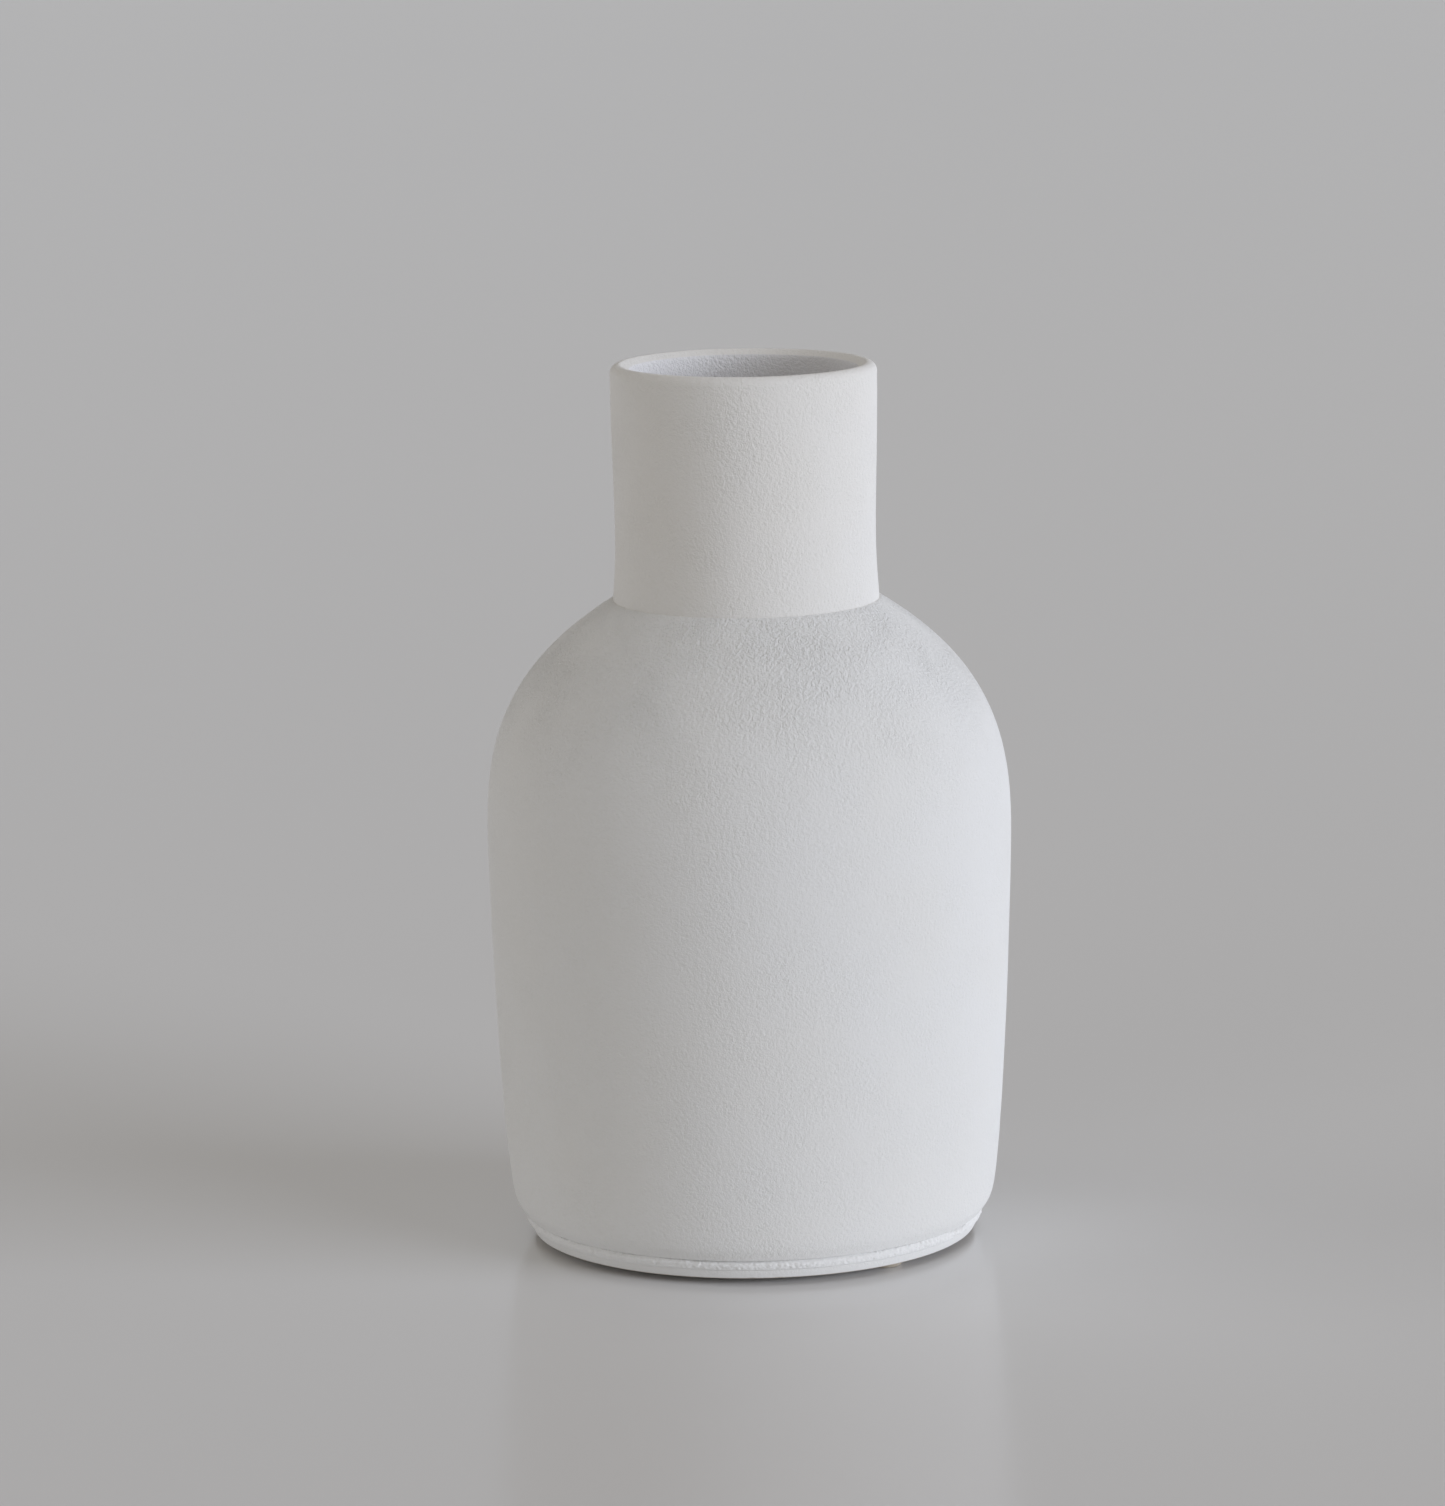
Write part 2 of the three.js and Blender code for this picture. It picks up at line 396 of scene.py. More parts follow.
def grain_group():
    """Sandy grain: packed little mounds with finer grit between them, and a mask of the low places where
    shade is painted.
    """
    found = bpy.data.node_groups.get("Sandy Grain")
    if found:
        return found
    tree, given, output = new_group(
        "Sandy Grain",
        [("Vector", "NodeSocketVector", None), ("Grain Size", "NodeSocketFloat", 0.00055),
         ("Grit", "NodeSocketFloat", 0.5), ("Patchiness", "NodeSocketFloat", 0.4)],
        [("Height", "NodeSocketFloat"), ("Painted Hollow Shade", "NodeSocketFloat")])
    density = maths(tree, "DIVIDE", 1.0, given["Grain Size"])
    mounds = add(tree, "ShaderNodeTexNoise",
                 {"Vector": given["Vector"], "Scale": density, "Detail": 1.5, "Roughness": 0.5})
    grit = add(tree, "ShaderNodeTexNoise",
               {"Vector": given["Vector"], "Scale": maths(tree, "MULTIPLY", density, 2.3),
                "Detail": 2.0, "Roughness": 0.6})
    patches = add(tree, "ShaderNodeTexNoise", {"Vector": given["Vector"], "Scale": 110.0, "Detail": 2.0})
    centred_grit = maths(tree, "SUBTRACT", grit.outputs["Fac"], 0.5)
    raised = maths(tree, "MULTIPLY_ADD", centred_grit, given["Grit"], mounds.outputs["Fac"])
    centred = maths(tree, "SUBTRACT", raised, 0.5)
    patch_swing = maths(tree, "MULTIPLY", maths(tree, "SUBTRACT", patches.outputs["Fac"], 0.5),
                        maths(tree, "MULTIPLY", given["Patchiness"], 4.0))
    strength = maths(tree, "ADD", 1.0, patch_swing)
    height = maths(tree, "MULTIPLY_ADD", centred, strength, 0.5)
    tree.links.new(height, output.inputs["Height"])
    # The mask for painted shade: 1 in the grain's low places, 0 on the mounds.
    tree.links.new(fade(tree, height, 0.5, 0.25, 0.0, 1.0), output.inputs["Painted Hollow Shade"])
    return tree


def tone_and_shade_group():
    """Firing tone and painted shade: a colour that drifts a little from place to place, and darkens in the
    grain's hollows to stand for the shade there.
    """
    found = bpy.data.node_groups.get("Firing Tone And Painted Shade")
    if found:
        return found
    tree, given, output = new_group(
        "Firing Tone And Painted Shade",
        [("Vector", "NodeSocketVector", None), ("Colour", "NodeSocketColor", (0.8, 0.8, 0.8, 1)),
         ("Warm Colour", "NodeSocketColor", (0.8, 0.78, 0.74, 1)),
         ("Shade Colour", "NodeSocketColor", (0.7, 0.69, 0.67, 1)),
         ("Painted Hollow Shade", "NodeSocketFloat", 0.0), ("Drift", "NodeSocketFloat", 0.5)],
        [("Colour", "NodeSocketColor")])
    cloud = add(tree, "ShaderNodeTexNoise",
                {"Vector": given["Vector"], "Scale": 38.0, "Detail": 3.0, "Roughness": 0.55})
    drift = maths(tree, "MULTIPLY", fade(tree, cloud.outputs["Fac"], 0.35, 0.7, 0.0, 1.0), given["Drift"])
    warmed = blend_colour(tree, drift, given["Colour"], given["Warm Colour"])
    # Painted shade: the colour is darkened towards the shade colour where the grain is low.
    shaded = blend_colour(tree, given["Painted Hollow Shade"], warmed, given["Shade Colour"])
    tree.links.new(shaded, output.inputs["Colour"])
    return tree


# ---------------------------------------------------------------- materials


def grained_material(name, colour, size, depth, roughness, grit=0.8, hollow=0.985, swell=None):
    """A dry ceramic surface with a sandy grain.

    hollow is how dark the painted shade in the grain's hollows is. swell is (low, high, share): the grain has
    that share of its depth below the low height, and all of it above the high one.
    """
    material, tree, shader, place = new_material(name)
    grain = add(tree, "ShaderNodeGroup", node_tree=grain_group())
    tree.links.new(place, grain.inputs["Vector"])
    grain.inputs["Grain Size"].default_value = size
    grain.inputs["Grit"].default_value = grit
    grain.inputs["Patchiness"].default_value = 0.4
    tone_and_shade = add(tree, "ShaderNodeGroup", node_tree=tone_and_shade_group())
    tree.links.new(place, tone_and_shade.inputs["Vector"])
    # Painted shade: the grain's low places darken the colour towards the shade colour set below, standing for
    # the shade that falls in them.
    tree.links.new(grain.outputs["Painted Hollow Shade"], tone_and_shade.inputs["Painted Hollow Shade"])
    tone_and_shade.inputs["Colour"].default_value = opaque(colour)
    tone_and_shade.inputs["Warm Colour"].default_value = opaque(tinted(colour, 0.995, 0.985, 0.965))
    tone_and_shade.inputs["Shade Colour"].default_value = opaque(tinted(colour, hollow, hollow, hollow * 0.99))
    height = grain.outputs["Height"]
    if swell:
        low, high, share = swell
        up = add(tree, "ShaderNodeSeparateXYZ", {0: place}).outputs["Z"]
        height = maths(tree, "MULTIPLY", height, fade(tree, up, low, high, share, 1.0))
    add_bump(tree, shader, height, depth)
    tree.links.new(tone_and_shade.outputs["Colour"], shader.inputs["Base Color"])
    tree.links.new(fade(tree, grain.outputs["Height"], 0.3, 0.7, roughness + 0.06, roughness - 0.04),
                   shader.inputs["Roughness"])
    shader.inputs["IOR"].default_value = 1.45
    shader.inputs["Specular IOR Level"].default_value = 0.5
    shader.inputs["Diffuse Roughness"].default_value = 0.6
    return material


def liner_material(glaze):
    """Smooth, glossy glaze with a faint ripple."""
    material, tree, shader, place = new_material("liner_glaze")
    ripple = add(tree, "ShaderNodeTexNoise", {"Vector": place, "Scale": 260.0, "Detail": 2.0})
    tone_and_shade = add(tree, "ShaderNodeGroup", node_tree=tone_and_shade_group())
    tree.links.new(place, tone_and_shade.inputs["Vector"])
    tone_and_shade.inputs["Colour"].default_value = opaque(glaze.liner_colour)
    tone_and_shade.inputs["Warm Colour"].default_value = opaque(tinted(glaze.liner_colour, 0.97, 0.95, 0.91))
    tone_and_shade.inputs["Drift"].default_value = 0.8
    add_bump(tree, shader, ripple.outputs["Fac"], 0.05 * MM)
    tree.links.new(tone_and_shade.outputs["Colour"], shader.inputs["Base Color"])
    tree.links.new(fade(tree, ripple.outputs["Fac"], 0.3, 0.7, 0.12, 0.22), shader.inputs["Roughness"])
    shader.inputs["Coat Weight"].default_value = 0.6
    shader.inputs["Coat Roughness"].default_value = 0.08
    return material


def clear_material(name, colour, roughness, transmission):
    """A clear, slightly cloudy rubber or film with fine scuffs."""
    material, tree, shader, place = new_material(name)
    cloud = add(tree, "ShaderNodeTexNoise", {"Vector": place, "Scale": 900.0, "Detail": 3.0})
    mixed = blend_colour(tree, fade(tree, cloud.outputs["Fac"], 0.4, 0.65, 0.0, 1.0),
                         opaque(colour), opaque(tinted(colour, 0.93, 0.90, 0.84)))
    scuffs = add(tree, "ShaderNodeTexNoise", {"Vector": place, "Scale": 4200.0, "Detail": 2.0})
    add_bump(tree, shader, scuffs.outputs["Fac"], 0.01 * MM)
    tree.links.new(mixed, shader.inputs["Base Color"])
    tree.links.new(fade(tree, scuffs.outputs["Fac"], 0.3, 0.7, roughness, roughness + 0.15),
                   shader.inputs["Roughness"])
    shader.inputs["Transmission Weight"].default_value = transmission
    shader.inputs["IOR"].default_value = 1.46
    return material


def floor_material(colour):
    """A plain pale satin surface, clear from below so that an underside can be looked at."""
    material, tree, shader, place = new_material("floor_satin")
    haze = add(tree, "ShaderNodeTexNoise", {"Vector": place, "Scale": 3.0, "Detail": 2.0})
    hazed = opaque(tinted(colour, 0.985, 0.985, 0.985))
    mixed = blend_colour(tree, haze.outputs["Fac"], opaque(colour), hazed)
    tree.links.new(mixed, shader.inputs["Base Color"])
    shader.inputs["Roughness"].default_value = 0.18
    shader.inputs["IOR"].default_value = 1.45
    below = tree.nodes.new("ShaderNodeNewGeometry").outputs["Backfacing"]
    clear = tree.nodes.new("ShaderNodeBsdfTransparent")
    one_way = add(tree, "ShaderNodeMixShader",
                  {0: below, 1: shader.outputs["BSDF"], 2: clear.outputs["BSDF"]})
    output = next(node for node in tree.nodes if node.type == "OUTPUT_MATERIAL")
    tree.links.new(one_way.outputs[0], output.inputs["Surface"])
    return material


# ---------------------------------------------------------------- pieces


def settings_of(context):
    """The clay's and the glazes' settings."""
    return context.scene.vase_clay, context.scene.vase_glaze


class VASE_OT_base(Operator):
    """Turn the base disc: trimmed underside, flared band and the spigot inside the body"""

    bl_idname = "vase.make_base"
    bl_label = "Base Disc"

    def execute(self, context):
        clay, glaze = settings_of(context)
        low = DISC_LOW.z
        trim_top = low + 0.8 * MM
        trim_start, trim_end = clay.trim_radius - 0.8 * MM, clay.trim_radius + 0.3 * MM
        spigot = clay.socket_radius - 0.3 * MM
        mark_spacing, mark_depth = 1.3 * MM, 0.035 * MM
        marks = [at(p.x, p.z + mark_depth * math.sin(math.tau * p.x / mark_spacing))
                 for p in straight(at(0, trim_top), at(trim_start - 0.1 * MM, trim_top), 0.32 * MM)]
        edge = 0.32 * MM
        band_foot = at(clay.foot_radius + edge * 0.3, low + edge)
        rim_round = 0.15 * MM
        band_top = at(DISC_HIGH.x, SEAM_LOW.z - rim_round)
        points = outline(
            marks,
            bend(at(trim_start, trim_top), at(trim_start + 0.5 * MM, trim_top),
                 at(trim_end - 0.5 * MM, low), at(trim_end, low), 0.15 * MM),
            straight(at(trim_end, low), at(clay.foot_radius - edge, low), 0.7 * MM),
            bend(at(clay.foot_radius - edge, low), at(clay.foot_radius - edge * 0.4, low),
                 band_foot - at(edge * 0.3, edge * 0.6), band_foot, 0.1 * MM),
            bend(band_foot, band_foot + at(0.45 * MM, 0.8 * MM), band_top - at(0.3 * MM, 0.8 * MM),
                 band_top, 0.22 * MM),
            arc(band_top - at(rim_round, 0), rim_round, 0, 90, 3),
            straight(at(spigot, SEAM_LOW.z), at(spigot, DISC_HIGH.z), 1.5 * MM),
            straight(at(spigot, DISC_HIGH.z), at(0, DISC_HIGH.z), 6 * MM),
        )
        bm = turned(points, clay.turn_steps)
        wander(bm, clay.unevenness * 0.5, 5 * MM, 1,
               lambda co: low + 0.2 * MM < co.z < SEAM_LOW.z + 0.1 * MM)
        bare_top = low + 1.0 * MM
        for face in bm.faces:
            faces_down = face.normal.z < -0.7
            face.material_index = int(faces_down and face.calc_center_median().z < bare_top)
        sides = grained_material("matt_glaze_base", glaze.glaze_colour, glaze.grain_size,
                                 glaze.grain_depth * glaze.base_grain, GLAZE_ROUGHNESS)
        # hollow=0.72 paints strong shade into the bare clay's pits.
        under = grained_material("bare_clay", glaze.clay_colour, glaze.grain_size * 0.7,
                                 glaze.grain_depth * 0.22, 0.88, grit=0.9, hollow=0.72)
        finish_piece(bm, "vase_base", [sides, under], "base_disc")
        return {"FINISHED"}


class VASE_OT_base_seam(Operator):
    """Lay the slip between the base disc and the body, squeezed out as a ragged bead"""

    bl_idname = "vase.make_base_seam"
    bl_label = "Base Seam"

    def execute(self, context):
        clay, glaze = settings_of(context)
        rim, seam = DISC_HIGH.x, SEAM_LOW.z
        top = SEAM_HIGH.z - 0.02 * MM
        points = outline(
            [at(clay.socket_radius, top), at(rim - 0.35 * MM, top), at(rim - 0.32 * MM, seam + 0.12 * MM)],
            bend(at(rim - 0.15 * MM, seam + 0.04 * MM), at(rim + 0.45 * MM, seam + 0.02 * MM),
                 at(rim + 0.4 * MM, seam - 1.0 * MM), at(rim - 0.5 * MM, seam - 1.5 * MM), 0.12 * MM),
            [at(rim - 1.2 * MM, seam - 1.2 * MM), at(clay.socket_radius, seam + 0.02 * MM)],
        )
        bm = turned(points, BEAD_STEPS, ring=True)
        lump_size, crumb_size = 0.9 * MM, 0.32 * MM
        burst_spacing, sweep_spacing, fill_spacing = 2.6 * MM, 9.0 * MM, 11.0 * MM
        fill_shift, fill_rise = Vector((0, 0, 247.9)), 0.3 * MM
        moves = []
        for vert in bm.verts:
            out = math.hypot(vert.co.x, vert.co.y) - rim
            share = within((out + 0.15 * MM) / (0.25 * MM))
            around = Vector((vert.co.x, vert.co.y, 0.0))
            lump = 1.0 - min(1.0, noise.voronoi(vert.co / lump_size)[0][0] * 1.5)
            crumb = noise.noise(vert.co / crumb_size)
            burst = max(0.0, noise.noise(around / burst_spacing))
            sweep = noise.noise(around / sweep_spacing)
            swell = 0.15 * lump + 0.32 * lump * burst + 0.09 * crumb + 0.1 * sweep - 0.12
            # The groove above the bead is filled with slip in places.
            filled = 0.45 + 1.8 * noise.noise(around / fill_spacing + fill_shift)
            filled = within(filled + 0.8 * crumb)
            upper = within((vert.co.z - seam + 0.1 * MM) / (0.1 * MM)) * (out < 0.2 * MM)
            moves.append(vert.normal * (share * MM * swell) + at(0.0, fill_rise * filled * upper))
        shift_verts(bm, moves)
        # hollow=0.95 paints shade into the bead's grain hollows.
        slip = grained_material("slip_bead", glaze.slip_colour, glaze.grain_size * 0.5,
                                glaze.grain_depth * 0.11, 0.7, grit=0.8, hollow=0.95)
        finish_piece(bm, "base_seam_slip", [slip], "base_slip_joint", sharp=80)
        return {"FINISHED"}


class VASE_OT_body(Operator):
    """Turn the bellied body: bevelled foot, nearly straight wall, round shoulder and the collar's seat"""

    bl_idname = "vase.make_body"
    bl_label = "Body"

    def execute(self, context):
        clay, glaze = settings_of(context)
        fine = 0.85 * MM
        low, high, belly = SHELL_LOW.z, SHELL_HIGH.z, SHELL_HIGH.x
        foot_edge = at(SEAM_HIGH.x + 0.02 * MM, low + 0.16 * MM)
        foot_start = at(foot_edge.x - 0.2 * MM, low)
        bevel_top = at(clay.bevel_radius, DISC_LOW.z + 4.9 * MM)
        wall_foot = at(clay.wall_foot_radius, DISC_LOW.z + 8 * MM)
        widest = at(belly, clay.belly_height)
        seat = COLLAR_HIGH.x + 0.2 * MM
        rim_round = 0.14 * MM
        shoulder_top = at(seat + rim_round * 0.6, high - rim_round * 0.1)
        points = outline(
            straight(at(clay.socket_radius, low), foot_start, 0.9 * MM),
            bend(foot_start, foot_start + at(0.12 * MM, 0), foot_edge - at(0.04 * MM, 0.07 * MM),
                 foot_edge, 0.06 * MM),
            straight(foot_edge, bevel_top, 0.4 * MM),
            bend(bevel_top, bevel_top + at(0.4 * MM, 0.65 * MM), wall_foot - at(0.24 * MM, 1.5 * MM),
                 wall_foot, 0.4 * MM),
            bend(wall_foot, wall_foot + at(1.75 * MM, 11 * MM), widest - at(0, 9.4 * MM), widest, fine),
            bend(widest, widest + at(0, 14 * MM), shoulder_top + at(19.1 * MM, -11.65 * MM),
                 shoulder_top, fine),
            bend(shoulder_top, shoulder_top + at(-rim_round * 0.5, rim_round * 0.3),
                 at(seat, high - rim_round * 0.5), at(seat, high - rim_round * 1.5), 0.06 * MM),
            straight(at(seat, high - rim_round * 1.5), at(seat, SEAT_LOW.z), 1 * MM),
            straight(at(seat, SEAT_LOW.z), at(clay.mouth_radius, SEAT_LOW.z), 1.8 * MM),
            reversed(body_hollow(clay, 0.0, DISC_HIGH.z, 2.2 * MM)),
        )
        bm = turned(points, clay.turn_steps, ring=True)
        outside = belly - clay.wall * 0.8

        def free(co):
            return low + MM < co.z < high - 2 * MM

        def on_show(co):
            return free(co) and (math.hypot(co.x, co.y) > outside or co.z > clay.belly_height)

        wander(bm, clay.unevenness, 24 * MM, 2, free)
        wander(bm, clay.unevenness * 0.3, 3.2 * MM, 3, on_show)
        wall_end, shoulder_end = 76 * MM, 108 * MM
        skin = grained_material("matt_glaze_body", glaze.glaze_colour, glaze.grain_size, glaze.grain_depth,
                                GLAZE_ROUGHNESS, swell=(wall_end, shoulder_end, glaze.wall_grain))
        finish_piece(bm, "vase_body", [skin], "body_shell")
        return {"FINISHED"}


class VASE_OT_neck_seam(Operator):
    """Bed the collar: a slip washer, the thin sleeve round the collar and its hairline crown"""

    bl_idname = "vase.make_neck_seam"
    bl_label = "Neck Seam"

    def execute(self, context):
        clay, glaze = settings_of(context)
        inner, collar = clay.mouth_radius + 0.2 * MM, COLLAR_HIGH.x
        sleeve_in, sleeve_out = collar - 0.03 * MM, collar + 0.24 * MM
        waver, waver_spacing = 0.06 * MM, 0.9 * MM
        low, high = SEAT_LOW.z + 0.01 * MM, SEAT_HIGH.z - 0.01 * MM
        crown = SHELL_HIGH.z - 0.07 * MM
        points = outline(
            [at(inner, low)],
            straight(at(sleeve_out, low), at(sleeve_out, crown), 0.8 * MM),
            arc(at((sleeve_in + sleeve_out) / 2, crown), (sleeve_out - sleeve_in) / 2, 0, 180, 6),
            straight(at(sleeve_in, crown), at(sleeve_in, high), 0.8 * MM),
            [at(inner, high)],
        )
        bm = turned(points, HAIRLINE_STEPS, ring=True)
        for vert in bm.verts:
            if vert.co.z > crown - 0.1 * MM:
                vert.co.z += waver * noise.noise(vert.co / waver_spacing) - 0.02 * MM
        bm.normal_update()
        slip = grained_material("slip_hairline", tinted(glaze.slip_colour, 0.95, 0.94, 0.92),
                                glaze.grain_size * 0.5, glaze.grain_depth * 0.2, 0.75)
        finish_piece(bm, "neck_seam_slip", [slip], "neck_slip_joint", sharp=80)
        return {"FINISHED"}


class VASE_OT_neck(Operator):
    """Turn the collar: a tube with a slight waist, and a rounded lip that falls away inwards"""

    bl_idname = "vase.make_neck"
    bl_label = "Neck Collar"

    def execute(self, context):
        clay, glaze = settings_of(context)
        fine = 0.7 * MM
        seam = at(COLLAR_HIGH.x, SHELL_HIGH.z)
        waist = at(clay.waist_radius, DISC_LOW.z + 119 * MM)
        lip_foot = at(clay.lip_radius, COLLAR_HIGH.z - clay.lip_round)
        crest = lip_foot + at(-clay.lip_round, clay.lip_round)
        inner_round, slope, slope_length = 0.8 * MM, math.radians(30), 1.45 * MM
        brow = crest - at(0, inner_round)
        slope_top = brow + at(-math.sin(slope), math.cos(slope)) * inner_round
        downhill = at(-math.cos(slope), -math.sin(slope))
        slope_foot = slope_top + downhill * slope_length
        wall_top = at(clay.mouth_radius, crest.z - 1.75 * MM)
        third = at(0, (lip_foot.z - waist.z) / 3)
        flare = waist - at(0, 4 * MM)
        bottom, chamfer = COLLAR_LOW.z, 0.1 * MM
        points = outline(
            straight(at(clay.mouth_radius, bottom), at(seam.x - chamfer, bottom), 1.2 * MM),
            straight(at(seam.x, bottom + chamfer), seam, fine),
            bend(seam, seam.lerp(flare, 2 / 3), waist.lerp(flare, 2 / 3), waist, fine),
            bend(waist, waist + third, lip_foot - third, lip_foot, fine),
            arc(lip_foot - at(clay.lip_round, 0), clay.lip_round, 0, 90, 10),
            arc(brow, inner_round, 90, 90 + math.degrees(slope), 4),
            straight(slope_top, slope_foot, 0.2 * MM),
            bend(slope_foot, slope_foot + downhill * 0.15 * MM, wall_top + at(0, 0.5 * MM),
                 wall_top, 0.16 * MM),
            straight(wall_top, at(clay.mouth_radius, bottom), fine * 1.3),
        )
        bm = turned(points, COLLAR_STEPS, ring=True)

        def free(co):
            return co.z > seam.z + 2 * MM

        wander(bm, clay.unevenness * 0.7, 16 * MM, 4, free)
        wander(bm, clay.unevenness * 0.25, 2.8 * MM, 5, free)
        edge_of_wall = clay.mouth_radius + 0.25 * MM
        for face in bm.faces:
            centre = face.calc_center_median()
            face.material_index = int(math.hypot(centre.x, centre.y) < edge_of_wall)
        outside = grained_material("matt_glaze_neck", tinted(glaze.glaze_colour, 1.0, 0.988, 0.972),
                                   glaze.grain_size, glaze.grain_depth * glaze.neck_grain, GLAZE_ROUGHNESS)
        # The inside glaze is tinted a little darker and cooler than the outside: painted shade for the inside
        # of the mouth.
        inside = grained_material("matt_glaze_neck_inside_shade", tinted(glaze.glaze_colour, 0.99, 0.985, 1.008),
                                  glaze.grain_size, glaze.grain_depth * glaze.mouth_grain, GLAZE_ROUGHNESS)
        finish_piece(bm, "vase_neck", [outside, inside], "neck_collar")
        return {"FINISHED"}


class VASE_OT_liner(Operator):
    """Pour the liner glaze: a smooth coat over the floor and the inside of the body"""

    bl_idname = "vase.make_liner"
    bl_label = "Liner Glaze"

    def execute(self, context):
        clay, glaze = settings_of(context)
        gap, thickness = 0.1 * MM, 0.5 * MM
        floor, top = LINER_LOW.z, LINER_LOW.z + thickness
        inner = body_hollow(clay, gap + thickness, top, 1.6 * MM)
        pool = bend(at(0, top), at(20 * MM, top), inner[0] - at(3 * MM, 0), inner[1], 1.6 * MM)
        points = outline(
            straight(at(0, floor), at(clay.socket_radius - gap, floor), 4 * MM),
            body_hollow(clay, gap, floor, 3 * MM),
            reversed(inner[2:]),
            reversed(pool),
        )
        bm = turned(points, LINER_STEPS)
        rim, pool_radius = LINER_HIGH.z - 8 * MM, 30 * MM
        wander(bm, 0.12 * MM, 9 * MM, 6,
               lambda co: co.z > rim or (co.z > top - 0.05 * MM and math.hypot(co.x, co.y) < pool_radius))
        finish_piece(bm, "inner_glaze", [liner_material(glaze)], "liner_glaze", sharp=60)
        return {"FINISHED"}


class VASE_OT_bumpers(Operator):
    """Mould the three clear bumpers, and cut the adhesive films that hold them"""

    bl_idname = "vase.make_bumpers"
    bl_label = "Bumpers"

    def execute(self, context):
        glaze = context.scene.vase_glaze
        clear = clear_material("clear_rubber", glaze.bumper_colour, 0.3, 0.35)
        film = clear_material("adhesive_film", glaze.adhesive_colour, 0.42, 0.2)
        for seed, place in enumerate(BUMPER_PLACES):
            self.make_bumper(place, clear)
            self.make_adhesive(place, film, seed)
        return {"FINISHED"}

    def round_in(self, low, high):
        """The axis and the radius of the round piece that fills a box."""
        return Vector(((low.x + high.x) / 2, (low.y + high.y) / 2, 0)), (high.x - low.x) / 2

    def make_bumper(self, place, material):
        low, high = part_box(f"bumper_{place}")
        centre, radius = self.round_in(low, high)
        edge = 0.55 * MM
        top_edge = at(radius - 0.04 * MM, high.z)
        points = outline(
            straight(at(0, low.z), at(radius - edge, low.z), 0.6 * MM),
            arc(at(radius - edge, low.z + edge), edge, -90, 0, 6),
            straight(at(radius, low.z + edge), top_edge, 0.2 * MM),
            straight(top_edge, at(0, top_edge.z), 0.7 * MM),
        )
        bm = turned(points, BUMPER_STEPS, centre)
        finish_piece(bm, f"bumper_pad_{place}", [material], f"bumper_{place}")

    def make_adhesive(self, place, material, seed):
        low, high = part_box(f"bumper_{place}_adhesive")
        centre, radius = self.round_in(low, high)
        flat = radius - 0.05 * MM
        bulge = at(radius + 0.04 * MM, (low.z + high.z) / 2)
        points = outline(
            straight(at(0, low.z), at(flat, low.z), 0.7 * MM),
            bend(at(flat, low.z), bulge, bulge, at(flat, high.z), 0.06 * MM),
            straight(at(flat, high.z), at(0, high.z), 0.7 * MM),
        )
        bm = turned(points, BUMPER_STEPS, centre)
        cut_depth, cut_spacing, cut_shift = 0.08 * MM, 1.4 * MM, Vector((seed, 0, 0))
        for vert in bm.verts:
            out = vert.co - centre
            out.z = 0
            if out.length > radius * 0.9:
                cut = cut_depth * noise.noise(vert.co / cut_spacing + cut_shift)
                vert.co += out.normalized() * cut
        finish_piece(bm, f"adhesive_{place}", [material], f"bumper_{place}_adhesive")


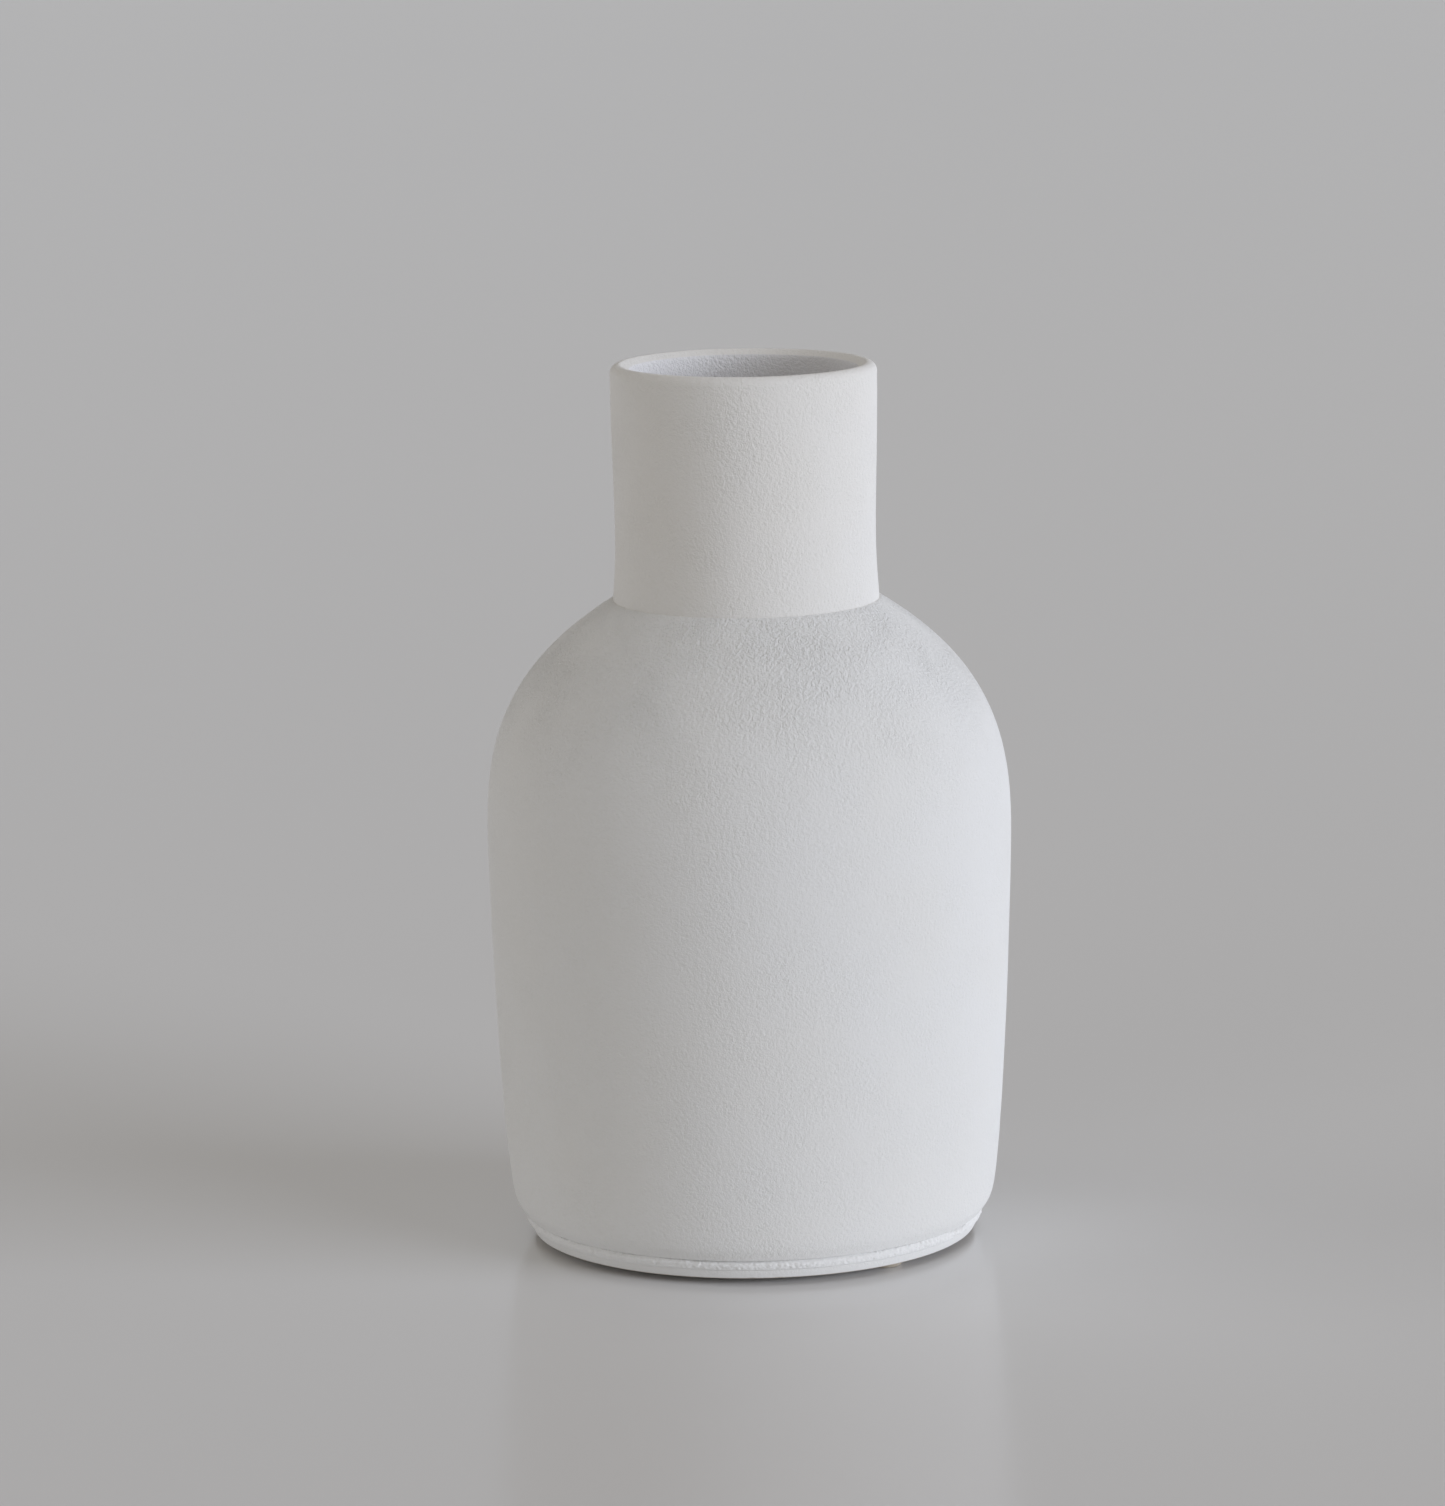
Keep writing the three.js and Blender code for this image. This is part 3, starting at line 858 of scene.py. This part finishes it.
class VASE_OT_stage(Operator):
    """Set the pale floor, the soft lights and the camera"""

    bl_idname = "vase.make_stage"
    bl_label = "Stage"

    def execute(self, context):
        stage = context.scene.vase_stage
        self.make_floor(stage)
        self.make_world(context.scene, stage)
        for light in LIGHTS:
            self.make_light(*light)
        self.make_camera(context.scene, stage)
        context.scene.view_settings.view_transform = "Standard"
        return {"FINISHED"}

    def make_floor(self, stage):
        floor_radius = 6.0
        bm = bmesh.new()
        bmesh.ops.create_circle(bm, cap_ends=True, radius=floor_radius, segments=128)
        bmesh.ops.translate(bm, verts=bm.verts, vec=(0, 0, CAD_BOUNDS[0].z))
        mesh = bpy.data.meshes.new("floor")
        bm.to_mesh(mesh)
        bm.free()
        mesh.materials.append(floor_material(stage.floor_colour))
        floor = bpy.data.objects.new("floor", mesh)
        bpy.context.scene.collection.objects.link(floor)

    def make_world(self, scene, stage):
        world = bpy.data.worlds.new("room")
        world.use_nodes = True
        tree = world.node_tree
        lighting = tree.nodes.new("ShaderNodeLightPath").outputs["Is Diffuse Ray"]
        colour = blend_colour(tree, lighting, opaque(stage.backdrop_colour), opaque(stage.room_light))
        tree.links.new(colour, tree.nodes["Background"].inputs["Color"])
        scene.world = world

    def make_light(self, name, azimuth, elevation, breadth, strength, colour):
        data = bpy.data.lights.new(name, "SUN")
        data.energy = strength
        data.angle = math.radians(breadth)
        data.color = colour
        light = bpy.data.objects.new(name, data)
        turn = Matrix.Rotation(math.radians(azimuth), 4, "Z")
        light.matrix_world = turn @ Matrix.Rotation(math.radians(90 - elevation), 4, "X")
        light.visible_glossy = False
        bpy.context.scene.collection.objects.link(light)

    def make_camera(self, scene, stage):
        data = bpy.data.cameras.new("camera")
        data.lens = stage.lens
        data.sensor_width = 36.0
        data.clip_start, data.clip_end = 0.05, 30.0
        camera = bpy.data.objects.new("camera", data)
        aim = (Matrix.Rotation(stage.camera_heading, 4, "Z")
               @ Matrix.Rotation(math.pi / 2 - stage.camera_tilt, 4, "X")
               @ Matrix.Rotation(stage.camera_roll, 4, "Z"))
        camera.matrix_world = Matrix.Translation((0, -stage.camera_distance, stage.camera_height)) @ aim
        scene.collection.objects.link(camera)
        scene.camera = camera


WINDOW_TINT, FILL_TINT = (0.84, 0.885, 1.0), (0.95, 0.96, 1.0)
# Each light: name, degrees to the right of the camera, elevation, breadth in degrees, strength, colour
LIGHTS = (
    ("window_low", 75, 3, 18, 1.33, WINDOW_TINT),
    ("window_side", 75, 12, 18, 0.45, WINDOW_TINT),
    ("window_middle", 60, 12, 18, 0.87, WINDOW_TINT),
    ("window_top", 45, 24, 18, 0.41, WINDOW_TINT),
    ("fill_front", -30, 6, 40, 0.42, FILL_TINT),
    ("fill_left", -90, 6, 40, 0.46, FILL_TINT),
    ("fill_left_top", -90, 28, 40, 0.20, FILL_TINT),
)


# ---------------------------------------------------------------- panel and registration


class VASE_PT_panel(Panel):
    """Lists the steps that build the vase"""

    bl_label = "Bud Vase"
    bl_space_type = "VIEW_3D"
    bl_region_type = "UI"
    bl_category = "Bud Vase"

    def draw(self, context):
        for operator in OPERATORS:
            self.layout.operator(operator.bl_idname)


SETTINGS = (
    ("vase_clay", ClaySettings),
    ("vase_glaze", GlazeSettings),
    ("vase_stage", StageSettings),
)
OPERATORS = (
    VASE_OT_base,
    VASE_OT_base_seam,
    VASE_OT_body,
    VASE_OT_neck_seam,
    VASE_OT_neck,
    VASE_OT_liner,
    VASE_OT_bumpers,
    VASE_OT_stage,
)


def register():
    for name, group in SETTINGS:
        bpy.utils.register_class(group)
        setattr(bpy.types.Scene, name, PointerProperty(type=group))
    for operator in OPERATORS:
        bpy.utils.register_class(operator)
    bpy.utils.register_class(VASE_PT_panel)


def unregister():
    bpy.utils.unregister_class(VASE_PT_panel)
    for operator in reversed(OPERATORS):
        bpy.utils.unregister_class(operator)
    for name, group in reversed(SETTINGS):
        delattr(bpy.types.Scene, name)
        bpy.utils.unregister_class(group)


def main():
    register()
    for operator in OPERATORS:
        group, name = operator.bl_idname.split(".")
        getattr(getattr(bpy.ops, group), name)()


if __name__ == "__main__":
    main()
